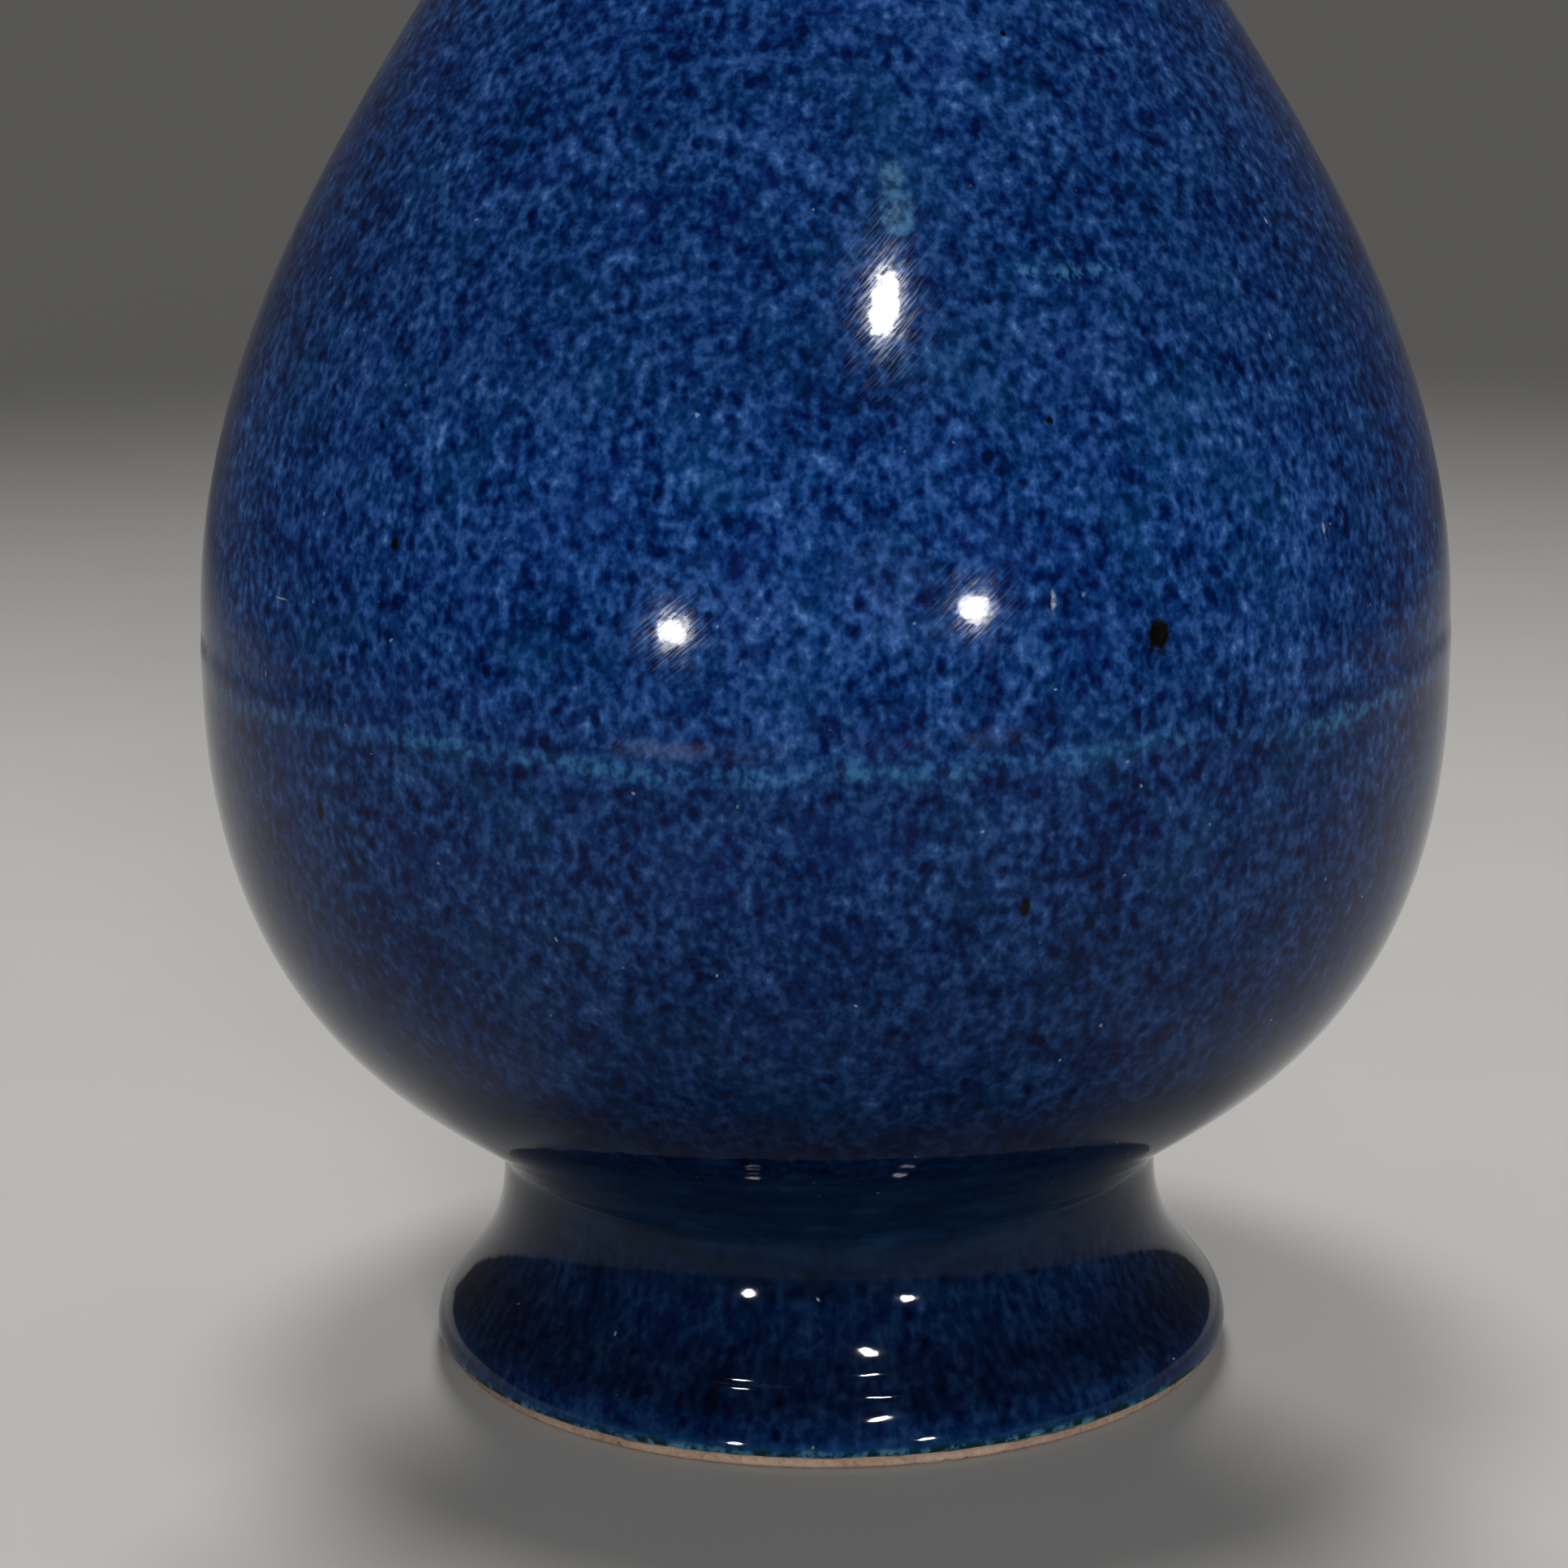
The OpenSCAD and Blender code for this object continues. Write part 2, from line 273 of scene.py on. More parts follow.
# Fired porcelain body: off-white, dense and matt, with a fine grain and scattered iron specks.
porcelain, tree, shader, mm = new_finish("fired_porcelain_body")
grain = add(tree, "TexNoise", {"Vector": mm, "Scale": 1 / 1.5, "Detail": 3, "Roughness": 0.65})
body = add(tree, "ValToRGB", {0: grain},
           stops=[(0.3, "#cfc6b6"), (0.5, "#ded7ca"), (0.7, "#e9e4da")])
iron = add(tree, "TexVoronoi", {"Vector": mm, "Scale": 1 / 7})
iron = add(tree, "MapRange", {0: iron, 1: 0.07, 2: 0.03, 4: 0.8}, interpolation_type="SMOOTHSTEP")
body = add(tree, "Mix", {0: iron, 6: body, 7: linear("#5e4a38")}, out=2, data_type="RGBA")
tree.links.new(body, shader.inputs["Base Color"])
tree.links.new(add(tree, "MapRange", {0: grain, 3: 0.5, 4: 0.7}), shader.inputs["Roughness"])
tree.links.new(add(tree, "Bump", {"Height": grain, "Distance": 0.0001, "Strength": 0.5}),
               shader.inputs["Normal"])
for section in ("lower_body", "upper_body", "neck"):
    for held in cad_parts[section].material_slots:
        held.material = porcelain


# Lutes
# Bands of slip, which is the same clay stirred to a cream, join the sections on bevelled seats.
# The potter presses each joint home, leaves a bead inside and wipes the outside nearly flush.

# Fired slip: a shade browner and more open than the clay, with wiping lines round the pot.
slip, tree, shader, mm = new_finish("fired_slip")
drawn = add(tree, "VectorMath", {0: mm, 1: (0.12, 0.12, 1.0)}, operation="MULTIPLY")
wiped = add(tree, "TexNoise", {"Vector": drawn, "Scale": 1 / 0.9, "Detail": 3, "Roughness": 0.7})
cream = add(tree, "ValToRGB", {0: wiped},
            stops=[(0.3, "#a58f75"), (0.5, "#bda98f"), (0.7, "#cdbda6")])
tree.links.new(cream, shader.inputs["Base Color"])
tree.links.new(add(tree, "MapRange", {0: wiped, 3: 0.65, 4: 0.85}), shader.inputs["Roughness"])
tree.links.new(add(tree, "Bump", {"Height": wiped, "Distance": 0.0002, "Strength": 0.6}),
               shader.inputs["Normal"])
for joint in ("foot_lute", "belly_lute", "neck_lute"):
    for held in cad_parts[joint].material_slots:
        held.material = slip


# Base glaze
# A thin clear coat brushed into the hollow of the foot after the foot was turned. It stops short
# of the standing edge and pools in the corner under the floor of the vase.
clear_t = 0.4
feather_t = 0.15
fillet_middle = [ring_r - lute_fillet, under_z - lute_fillet]
ceiling_points = 14
ceiling_spread = np.linspace(0, fillet_middle[0], ceiling_points)
clay_side = np.concatenate([
    raised(hollow_path, 0),
    arc(fillet_middle, lute_fillet, 0, 90)[1:],
    [[0, under_z]],
])
coat_side = np.concatenate([
    np.stack([ceiling_spread, np.full(ceiling_points, under_z - clear_t)], 1),
    arc(fillet_middle, lute_fillet - clear_t, 90, 0)[1:],
    raised(hollow_path, -feather_t, -clear_t)[::-1][1:],
])
base_around = 240
base_angles = turns(base_around)
r, z = rings(np.concatenate([clay_side, coat_side]), base_around)
coated = np.arange(len(r))[:, None] >= len(clay_side)
# The brushed edge is uneven and mostly hangs a little low.
brush_swells = 40
brush_waver = 0.7
brush_hang = 0.6
brush_fade = 3.0
at_edge = np.clip(1 - (z - bare_hollow_z) / brush_fade, 0, 1)
z -= coated * brush_waver * (waver(base_angles, brush_swells, draw=5.5) + brush_hang) * at_edge
# A spiral left by the turning tool still shows under the coat on the ceiling of the hollow.
spiral_pitch = 2.6
spiral_depth = 0.07
spiral_start = 6.0
spiral_end = 39.0
spiral_fade = 4.0
spiral = np.sin(r / spiral_pitch * 2 * math.pi + base_angles)
tool_ridge = coated * spiral_depth * (1 + spiral) * (z > hollow_top[1])
z -= tool_ridge * np.clip(r / spiral_start, 0, 1) * np.clip((spiral_end - r) / spiral_fade, 0, 1)
base_glaze = turned("base_clear_glaze", r, z)

# Clear glaze on porcelain: glossy and faintly blue-green white, deeper where it pools, with grey
# pinprick specks of iron and a soft ripple that bends reflections.
clear_glaze, tree, shader, mm = new_finish("clear_porcelain_glaze")
pool = add(tree, "TexNoise", {"Vector": mm, "Scale": 1 / 22, "Detail": 3, "Roughness": 0.55})
white = add(tree, "ValToRGB", {0: pool},
            stops=[(0.32, "#bccac6"), (0.5, "#d0d8d4"), (0.68, "#dfe1dc")])
iron = add(tree, "TexVoronoi", {"Vector": mm, "Scale": 1 / 9})
iron = add(tree, "MapRange", {0: iron, 1: 0.06, 2: 0.025, 4: 0.75}, interpolation_type="SMOOTHSTEP")
white = add(tree, "Mix", {0: iron, 6: white, 7: linear("#4d4640")}, out=2, data_type="RGBA")
tree.links.new(white, shader.inputs["Base Color"])
tree.links.new(add(tree, "MapRange", {0: pool, 3: 0.1, 4: 0.2}), shader.inputs["Roughness"])
ripple = add(tree, "TexNoise", {"Vector": mm, "Scale": 1 / 6, "Detail": 1})
tree.links.new(add(tree, "Bump", {"Height": ripple, "Distance": 0.0002, "Strength": 0.5}),
               shader.inputs["Normal"])
base_glaze.data.materials.append(clear_glaze)
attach(base_glaze, "root")
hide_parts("base_glaze")


# Inner glaze
# The same clear coat, poured in, swilled round and poured out over the lip. It covers the floor,
# the beads of slip at the joints and the shallow throwing rings that fingers left in the wall.
belly_r = 94.5
belly_z = 112.0
shoulder_r = 47.0
shoulder_z = 226.5
neck_r = 25.0
neck_z = 284.0
mouth_r = 43.5
clay_height = 322.0
lip_t = 3.0
low_wall = 5.6
belly_wall = 4.6
shoulder_wall = 4.2
neck_wall = 3.8
floor_t = 7.0
bead_reach = 3.6
bead_proud = 1.2
bead_steps = 24
# The wall runs straight for this far on either side of a joint.
land = seat_rise + bead_reach
# How far the shoulder and the end of the mouth lean from the upright, in degrees.
shoulder_lean = 33.5
mouth_lean = 58.0
# How far each curve of the outline keeps the direction that it has at its ends.
waist_turn = 10.0
belly_low_turn = 60.5
belly_high_turn = 39.0
shoulder_run = 38.0
neck_run = 20.0
neck_low_turn = 22.0
neck_high_turn = 17.0
mouth_run = 12.0
# Where along the low curve the floor runs out into the wall, and how full its corner is.
floor_meets_wall = 0.42
floor_bend = 0.9

belly_joint = np.array([belly_r, belly_z])
belly_up = np.array([0.0, 1.0])
shoulder_joint = np.array([shoulder_r, shoulder_z])
shoulder_up = np.array([-math.sin(math.radians(shoulder_lean)), math.cos(math.radians(shoulder_lean))])
mouth_up = np.array([math.sin(math.radians(mouth_lean)), math.cos(math.radians(mouth_lean))])
lip_r = lip_t / 2
lip_middle = np.array([mouth_r - lip_r, clay_height - lip_r])
lip_out = np.array([mouth_up[1], -mouth_up[0]])
lip_start = lip_middle + lip_r * lip_out

low_start = np.array([waist_r, foot_seat_z + lute_t])
low_end = belly_joint - land * belly_up
low_points = [low_start, low_start + waist_turn * belly_up, low_end - belly_low_turn * belly_up, low_end]
high_start = belly_joint + land * belly_up
high_end = shoulder_joint - land * shoulder_up
high_points = [
    high_start, high_start + belly_high_turn * belly_up, high_end - shoulder_run * shoulder_up, high_end]
neck_start = shoulder_joint + land * shoulder_up
neck_waist = np.array([neck_r, neck_z])
neck_points = [
    neck_start, neck_start + neck_run * shoulder_up, neck_waist - neck_low_turn * belly_up, neck_waist]
mouth_points = [
    neck_waist, neck_waist + neck_high_turn * belly_up, lip_start - mouth_run * mouth_up, lip_start]

wall_path = curve(*low_points, steps=40, start=floor_meets_wall)
wall_foot = raised(wall_path, -low_wall)[0]
wall_up = np.array([-wall_path[1][0][1], wall_path[1][0][0]])
floor_z = under_z + floor_t
floor_corner = wall_foot - floor_bend * (wall_foot[1] - floor_z) / wall_up[1] * wall_up
floor_path = curve([0, floor_z], [floor_corner[0], floor_z], floor_corner, wall_foot, steps=24)
high_path = curve(*high_points, steps=40)
neck_path = curve(*neck_points, steps=30)
mouth_path = curve(*mouth_points, steps=26)


def bead(joint, up, wall, raise_by):
    """Line of the swell of slip inside a joint, under a coat of some thickness."""
    out = np.array([up[1], -up[0]])
    along = np.linspace(-1, 1, bead_steps + 1)[:, None]
    swell = bead_proud * (1 + np.cos(math.pi * along)) / 2
    return joint - (wall + swell + raise_by) * out + (seat_rise + bead_reach * along) * up


def inside(raise_by):
    """Line of the inner wall from the middle of the floor to the lip, under a coat of some thickness."""
    return np.concatenate([
        raised(floor_path, -raise_by),
        raised(wall_path, -low_wall - raise_by, -belly_wall - raise_by)[1:],
        bead(belly_joint, belly_up, belly_wall, raise_by),
        raised(high_path, -belly_wall - raise_by, -shoulder_wall - raise_by)[1:],
        bead(shoulder_joint, shoulder_up, shoulder_wall, raise_by),
        raised(neck_path, -shoulder_wall - raise_by, -neck_wall - raise_by)[1:],
        raised(mouth_path, -neck_wall - raise_by, -lip_t - raise_by)[1:],
    ])


# The hidden side on the clay makes do with every second point.
clay_side = np.concatenate([
    inside(0)[::2],
    arc(lip_middle, lip_r, 180 - mouth_lean, -mouth_lean, steps=10)[1:],
])
coat_side = np.concatenate([
    arc(lip_middle, lip_r + clear_t, -mouth_lean, 180 - mouth_lean, steps=14),
    inside(clear_t)[::-1][1:],
])
inner_around = 272
inner_angles = turns(inner_around)
r, z = rings(np.concatenate([clay_side, coat_side]), inner_around)
coated = np.arange(len(r))[:, None] >= len(clay_side)
# Throwing rings climb the wall as a slow spiral and fade out at the floor and at the lip.
throw_pitch = 8.5
throw_depth = 0.13
throw_wander = 0.8
throw_wander_rise = 31.0
throw_low = 62.0
throw_low_fade = 25.0
throw_high = 312.0
throw_high_fade = 14.0
wander = throw_wander * np.sin(z / throw_wander_rise)
throwing = np.sin(z / throw_pitch * 2 * math.pi + inner_angles + wander)
fade = np.clip((z - throw_low) / throw_low_fade, 0, 1) * np.clip((throw_high - z) / throw_high_fade, 0, 1)
r -= coated * throw_depth * (1 + throwing) * fade
inner_glaze = turned("inner_clear_glaze", r, z)
inner_glaze.data.materials.append(clear_glaze)
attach(inner_glaze, "root")
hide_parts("inner_glaze")


# Outer glaze
# A thick cobalt coat blown and poured over the outside before one high firing. It breaks into
# pale and dark flecks on the belly, runs and darkens towards the foot, where painted shade darkens
# it further, thins to turquoise over the joint of the two halves, and ends in a ragged, rolled
# edge just above the bare rim.
blue_t = 0.6
roll_h = 0.5
edge_reach = 3.4
edge_gap = 0.3
seam_points = 17
seam_inset = 0.4

# Place of the joint's line round the belly: angle in degrees from +X, height in mm.
seam_line = [
    (-180, 112.0), (-148, 111.5), (-137, 113.1), (-122, 112.7), (-110, 112.0), (-95, 111.0),
    (-92.3, 111.4), (-90, 112.5), (-83, 112.0), (-73, 112.7), (-67, 112.6), (-60, 113.7),
    (-47, 111.6), (-38, 112.2), (-8, 112.7), (32, 111.5), (78, 112.4), (118, 111.6), (158, 112.5),
    (180, 112.0)]

low_path = curve(*low_points, steps=33)
high_path = curve(*high_points, steps=36)
neck_path = curve(*neck_points, steps=20)
mouth_path = curve(*mouth_points, steps=18)
flare_rows = raised(curve(*flare_points, steps=48), blue_t)
flare_rows = flare_rows[flare_rows[:, 1] > bare_edge_z + edge_reach + edge_gap]
seam_reach = land - seam_inset
seam_rows = belly_z + np.linspace(-seam_reach, seam_reach, seam_points)
coat_side = np.concatenate([
    flare_rows,
    raised(low_path, blue_t),
    np.stack([np.full(seam_points, belly_r + blue_t), seam_rows], 1),
    raised(high_path, blue_t),
    raised(neck_path, blue_t),
    raised(mouth_path, blue_t, clear_t)[1:],
])
# The hidden side on the clay makes do with every second to fourth point.
clay_side = np.concatenate([
    raised(mouth_path, 0)[::-2],
    raised(neck_path, 0)[::-3][1:],
    raised(high_path, 0)[::-3],
    raised(low_path, 0)[::-3],
    raised(flare_path, 0)[::-4],
])
glaze_around = 400
angles = turns(glaze_around)
degrees = (np.degrees(angles) + 180) % 360 - 180
r, z = rings(np.concatenate([coat_side, clay_side]), glaze_around)
coated = np.arange(len(r))[:, None] < len(coat_side)

# The pot is slightly out of round, as hand-thrown work is.
swell_depth = 0.2
swell_spread = 1.3
swell_rise = 45.0
swell_low = 6.0
swell_high = 318.0
swell_fade = 12.0
across_x = swell_spread * np.cos(angles)
across_y = swell_spread * np.sin(angles)
swell = np.array([[noise.noise((x, y, level / swell_rise)) for x, y in zip(across_x, across_y)]
                  for level in z[:len(coat_side), 0]])
swell = np.concatenate([swell, np.zeros((len(clay_side), glaze_around))])
foot_fade = np.clip((z - swell_low) / swell_fade, 0, 1)
lip_fade = np.clip((swell_high - z) / swell_fade, 0, 1)
r += coated * swell_depth * swell * foot_fade * lip_fade
# The smear of slip at the joint stands as a low, wavering ridge, and the upper half of the belly
# steps in a little above it.
ridge_width = 1.5
ridge_height = 0.08
ridge_level = 0.8
ridge_waver = 0.5
ridge_swells = 70
step_start = 1.6
step_rise = 3.4
step_depth = 0.15
step_end = 280.0
step_fade = 50.0
seam_z = np.interp(degrees, *zip(*seam_line))
ridge = np.exp(-((z - seam_z) / ridge_width) ** 2 / 2)
r += coated * ridge_height * ridge * (ridge_level + ridge_waver * waver(angles, ridge_swells, draw=1.7))
step = np.clip((z - seam_z - step_start) / step_rise, 0, 1)
r -= coated * step_depth * step ** 2 * (3 - 2 * step) * np.clip((step_end - z) / step_fade, 0, 1)
r += tool_facet(z, angles)

# The lower edge follows the clay at a ragged line with drips, and rolls over to it. Its rows lie
# closer together towards the end, and each swell of the line has a size, a count and a draw.
edge_rise = np.array([0, 0.02, 0.07, 0.15, 0.26, 0.4, 0.6, 0.9, 1.2, 1.6, 2.0, 2.5, 3.0, edge_reach])
ragged_swells = [(0.26, 90, 2.3), (0.2, 190, 9.1), (0.2, 14, 4.4)]
drip_length = 0.5
drip_swells = 60
drip_bare = 0.25
ragged = sum(size * waver(angles, swells, draw) for size, swells, draw in ragged_swells)
ragged += drip_length * np.clip(waver(angles, drip_swells, draw=7.7) - drip_bare, 0, None)
slide = np.clip(1 - edge_rise / edge_reach, 0, 1)[:, None] * ragged
edge_z = bare_edge_z + edge_rise[:, None] - slide
foot_line = np.concatenate([[[rim_r, rim_round]], raised(edge_path, 0), raised(flare_path, 0)[1:]])
rolled = np.sqrt(1 - (1 - np.clip(edge_rise / roll_h, 0, 1)) ** 2)[:, None] * blue_t
edge_r = np.interp(edge_z, foot_line[:, 1], foot_line[:, 0]) + rolled + tool_facet(edge_z, angles)
r = np.concatenate([edge_r, r])
z = np.concatenate([edge_z, z])
outer_glaze = turned("outer_cobalt_glaze", r, z)

# Cobalt glaze: deep blue glass, glossy, with pale flecks where it broke and dark dots where cobalt
# gathered. Scratches and rubbed spots dull the gloss in hairlines, and specks of iron burnt through.
cobalt, tree, shader, mm = new_finish("cobalt_flecked_glaze")
axes = add(tree, "SeparateXYZ", {0: mm}, out=None).outputs
angle = add(tree, "Math", {0: axes["Y"], 1: axes["X"]}, operation="ARCTAN2")
turn = add(tree, "MapRange", {0: angle, 1: -math.pi, 2: math.pi})
height = axes["Z"]

# Flecks are drawn a little longer than wide on the belly.
long_flow = add(tree, "VectorMath", {0: mm, 1: (1.0, 1.0, 0.8)}, operation="MULTIPLY")
fleck = add(tree, "TexNoise", {"Vector": long_flow, "Scale": 1 / 1.55, "Detail": 2.5, "Roughness": 0.55})
blot = add(tree, "TexNoise", {"Vector": long_flow, "Scale": 1 / 7.5, "Detail": 1, "Roughness": 0.5})
cloud = add(tree, "TexNoise", {"Vector": mm, "Scale": 1 / 30, "Detail": 2, "Roughness": 0.5})
hue = add(tree, "TexNoise", {"Vector": mm, "Scale": 1 / 13, "Detail": 2, "Roughness": 0.5})
# Below the belly the glaze ran, so its flecks turn to streaks down the slope.
streak_r = 75.0
across = add(tree, "VectorMath", {0: mm, 1: (1.0, 1.0, 0.0)}, operation="MULTIPLY")
across = add(tree, "VectorMath", {0: across}, operation="NORMALIZE")
runs = add(tree, "VectorMath", {0: across, 1: (streak_r, streak_r, 0.0)}, operation="MULTIPLY")
runs = add(tree, "VectorMath", {0: mm, 1: (0.0, 0.0, 0.4), 2: runs}, operation="MULTIPLY_ADD")
streak = add(tree, "TexNoise", {"Vector": runs, "Scale": 1 / 1.9, "Detail": 2, "Roughness": 0.55})
low = add(tree, "MapRange", {0: height, 1: 96.0, 2: 48.0, 4: 0.4}, interpolation_type="SMOOTHSTEP")
tone = add(tree, "Mix", {0: low, 2: fleck, 3: streak})
# At the waist the coat was wiped round by a finger, which leaves level smears.
smear_r = 9.0
smears = add(tree, "VectorMath", {0: across, 1: (smear_r, smear_r, 0.0)}, operation="MULTIPLY")
smears = add(tree, "VectorMath", {0: mm, 1: (0.0, 0.0, 0.7), 2: smears}, operation="MULTIPLY_ADD")
smear = add(tree, "TexNoise", {"Vector": smears, "Scale": 1 / 1.8, "Detail": 3, "Roughness": 0.6})
waist = add(tree, "FloatCurve", {1: add(tree, "MapRange", {0: height, 1: 0.0, 2: 80.0})},
            stops=[(0.0, 0.0), (1.0, 0.0), (0.25, 0.0), (0.4, 0.75), (0.52, 0.75), (0.68, 0.0)])
tone = add(tree, "Mix", {0: waist, 2: tone, 3: smear})
# Dark dots, 1 to 2 mm across, sit where the cobalt gathered.
dots = add(tree, "TexVoronoi", {"Vector": long_flow, "Scale": 1 / 3.2}, out=None).outputs
dot = add(tree, "MapRange", {0: dots["Distance"], 1: 0.37, 2: 0.12}, interpolation_type="SMOOTHSTEP")
dark = add(tree, "Math", {0: dot, 1: dots["Color"]}, operation="MULTIPLY")
tone = add(tree, "Math", {0: blot, 1: 0.27, 2: tone}, operation="MULTIPLY_ADD")
tone = add(tree, "Math", {0: cloud, 1: 0.15, 2: tone}, operation="MULTIPLY_ADD")
tone = add(tree, "Math", {0: dark, 1: -0.2, 2: tone}, operation="MULTIPLY_ADD")
blue = add(tree, "ValToRGB", {0: tone},
           stops=[(0.42, "#000b2b"), (0.54, "#00103e"), (0.7, "#092c5f"), (0.88, "#284b83"),
                  (1.0, "#466ca3")])
teal = add(tree, "MapRange", {0: hue, 1: 0.52, 2: 0.72, 4: 0.25})
blue = add(tree, "Mix", {0: teal, 6: blue, 7: linear("#053a5c")}, out=2, data_type="RGBA")
violet = add(tree, "MapRange", {0: hue, 1: 0.48, 2: 0.28, 4: 0.25})
blue = add(tree, "Mix", {0: violet, 6: blue, 7: linear("#142c6e")}, out=2, data_type="RGBA")

# The coat is thicker and deeper below the joint, and deepest at the waist and foot. The height
# curve also carries painted shade: darker towards the foot and in bands across its splay.
seam_low = 108.0
seam_span = 8.0
seam_stops = [((place + 180) / 360, (level - seam_low) / seam_span) for place, level in seam_line]
seam_height = add(tree, "FloatCurve", {1: turn},
                  stops=[seam_stops[0], seam_stops[-1]] + seam_stops[1:-1])
seam_height = add(tree, "Math", {0: seam_height, 1: seam_span, 2: seam_low}, operation="MULTIPLY_ADD")
above = add(tree, "Math", {0: height, 1: seam_height}, operation="SUBTRACT")
below = add(tree, "FloatCurve", {1: add(tree, "MapRange", {0: above, 1: -8.0, 2: 8.0})},
            stops=[(0.0, 0.8), (1.0, 1.0), (0.36, 0.8), (0.44, 0.92), (0.5, 1.0), (0.57, 0.95),
                   (0.64, 0.84), (0.75, 0.9), (0.87, 1.0)])
thickness_and_shade = add(tree, "FloatCurve", {1: add(tree, "MapRange", {0: height, 1: 0.0, 2: 330.0})},
            stops=[(0.0, 0.46), (1.0, 0.85), (0.018, 0.42), (0.035, 0.19), (0.06, 0.28), (0.075, 0.2),
                   (0.09, 0.19), (0.115, 0.31), (0.15, 0.2), (0.19, 0.4), (0.26, 0.56), (0.32, 0.75),
                   (0.37, 0.87), (0.445, 1.0), (0.5, 0.82), (0.6, 0.85), (0.67, 0.94), (0.75, 0.9)])
thickness_and_shade = add(tree, "Math", {0: thickness_and_shade, 1: below}, operation="MULTIPLY")
thickness_and_shade = add(tree, "CombineColor", {0: thickness_and_shade, 1: thickness_and_shade, 2: thickness_and_shade})
blue = add(tree, "Mix", {0: 1.0, 6: blue, 7: thickness_and_shade}, out=2, data_type="RGBA", blend_type="MULTIPLY")
wiped = add(tree, "Math", {0: waist, 1: 0.45}, operation="MULTIPLY")
blue = add(tree, "Mix", {0: wiped, 6: blue, 7: linear("#0a1e2b")}, out=2, data_type="RGBA")

# Over the joint the coat is thin, and its pale flecks turn to turquoise in an uneven band.
broken = add(tree, "TexNoise", {"Vector": mm, "Scale": 1 / 4.5, "Detail": 2, "Roughness": 0.6})
nearness = add(tree, "Math", {0: above, 1: 1.4}, operation="SUBTRACT")
nearness = add(tree, "Math", {0: broken, 1: 3.0, 2: nearness}, operation="MULTIPLY_ADD")
nearness = add(tree, "Math", {0: nearness}, operation="ABSOLUTE")
band = add(tree, "MapRange", {0: nearness, 1: 1.9, 2: 0.3}, interpolation_type="SMOOTHSTEP")
pale = add(tree, "MapRange", {0: fleck, 1: 0.4, 2: 0.64, 3: 0.06, 4: 0.36},
           interpolation_type="SMOOTHSTEP")
gaps = add(tree, "TexNoise", {"Vector": mm, "Scale": 1 / 9, "Detail": 2, "Roughness": 0.6})
gaps = add(tree, "MapRange", {0: gaps, 1: 0.36, 2: 0.6, 3: 0.25}, interpolation_type="SMOOTHSTEP")
band = add(tree, "Math", {0: band, 1: gaps}, operation="MULTIPLY")
band = add(tree, "Math", {0: band, 1: pale}, operation="MULTIPLY")
blue = add(tree, "Mix", {0: band, 6: blue, 7: linear("#356e8e")}, out=2, data_type="RGBA")

# Near the foot's edge the coat is brighter, and ends in dark green beads and a pale broken fringe.
fringe = add(tree, "Math", {0: broken, 1: -1.6, 2: height}, operation="MULTIPLY_ADD")
thin = add(tree, "MapRange", {0: fringe, 1: 4.4, 2: 1.8, 4: 0.5}, interpolation_type="SMOOTHSTEP")
thin = add(tree, "Math", {0: thin, 1: tone}, operation="MULTIPLY")
blue = add(tree, "Mix", {0: thin, 6: blue, 7: linear("#0e4570")}, out=2, data_type="RGBA")
beading = add(tree, "TexNoise", {"Vector": mm, "Scale": 1 / 2.6, "Detail": 3, "Roughness": 0.65})
beads = add(tree, "MapRange", {0: beading, 1: 0.43, 2: 0.57, 4: 0.95}, interpolation_type="SMOOTHSTEP")
thick = add(tree, "MapRange", {0: fringe, 1: 3.4, 2: 2.0}, interpolation_type="SMOOTHSTEP")
beads = add(tree, "Math", {0: beads, 1: thick}, operation="MULTIPLY")
blue = add(tree, "Mix", {0: beads, 6: blue, 7: linear("#081c18")}, out=2, data_type="RGBA")
flecks = add(tree, "MapRange", {0: beading, 1: 0.54, 2: 0.36}, interpolation_type="SMOOTHSTEP")
ending = add(tree, "MapRange", {0: fringe, 1: 2.9, 2: 1.5, 4: 0.6}, interpolation_type="SMOOTHSTEP")
flecks = add(tree, "Math", {0: flecks, 1: ending}, operation="MULTIPLY")
blue = add(tree, "Mix", {0: flecks, 6: blue, 7: linear("#54827e")}, out=2, data_type="RGBA")
# At the lip the coat ran off and shows the pale clay through it.
lip = add(tree, "MapRange", {0: height, 1: 317.6, 2: 320.2}, interpolation_type="SMOOTHSTEP")
blue = add(tree, "Mix", {0: lip, 6: blue, 7: linear("#8fa3ad")}, out=2, data_type="RGBA")

# Spots where iron burnt through, and scuffs: angle in degrees, height, width and length in mm.
iron_spots = [
    (-62.0, 127.6, 3.8, 5.6), (-138.1, 99.9, 1.7, 3.4), (-73.7, 92.1, 1.6, 3.0),
    (-129.0, 138.9, 1.5, 1.9), (-132.9, 154.0, 0.9, 1.0), (-70.1, 156.4, 1.1, 1.2),
    (-66.2, 205.5, 1.2, 1.0), (28.0, 141.0, 2.2, 3.0), (96.0, 90.0, 1.8, 2.6),
    (151.0, 172.0, 1.4, 1.6), (64.0, 196.0, 1.1, 1.1)]
scuffs = [
    (-42.2, 138.4, 0.9, 4.6), (-71.3, 133.4, 0.9, 3.6), (-143.8, 128.6, 3.6, 0.4),
    (-146.3, 117.3, 0.4, 1.6), (-36.9, 179.2, 0.6, 3.8), (-43.3, 164.7, 0.6, 3.6),
    (-138.7, 129.4, 0.5, 0.7), (-71.4, 121.7, 0.7, 0.4)]
# A pale patch painted where a faint reflection falls high on the belly, and a line of turquoise flecks in
# the glaze near it.
painted_reflection_patches = [(-82.3, 183.4, 5.0, 14.0), (-82.6, 187.6, 3.8, 10.0)]
thin_lines = [(-69.6, 175.2, 6.0, 2.4), (-65.8, 174.6, 7.0, 3.0), (-62.0, 174.9, 7.0, 2.4)]
wall_line = np.concatenate([raised(low_path, blue_t), raised(high_path, blue_t)])
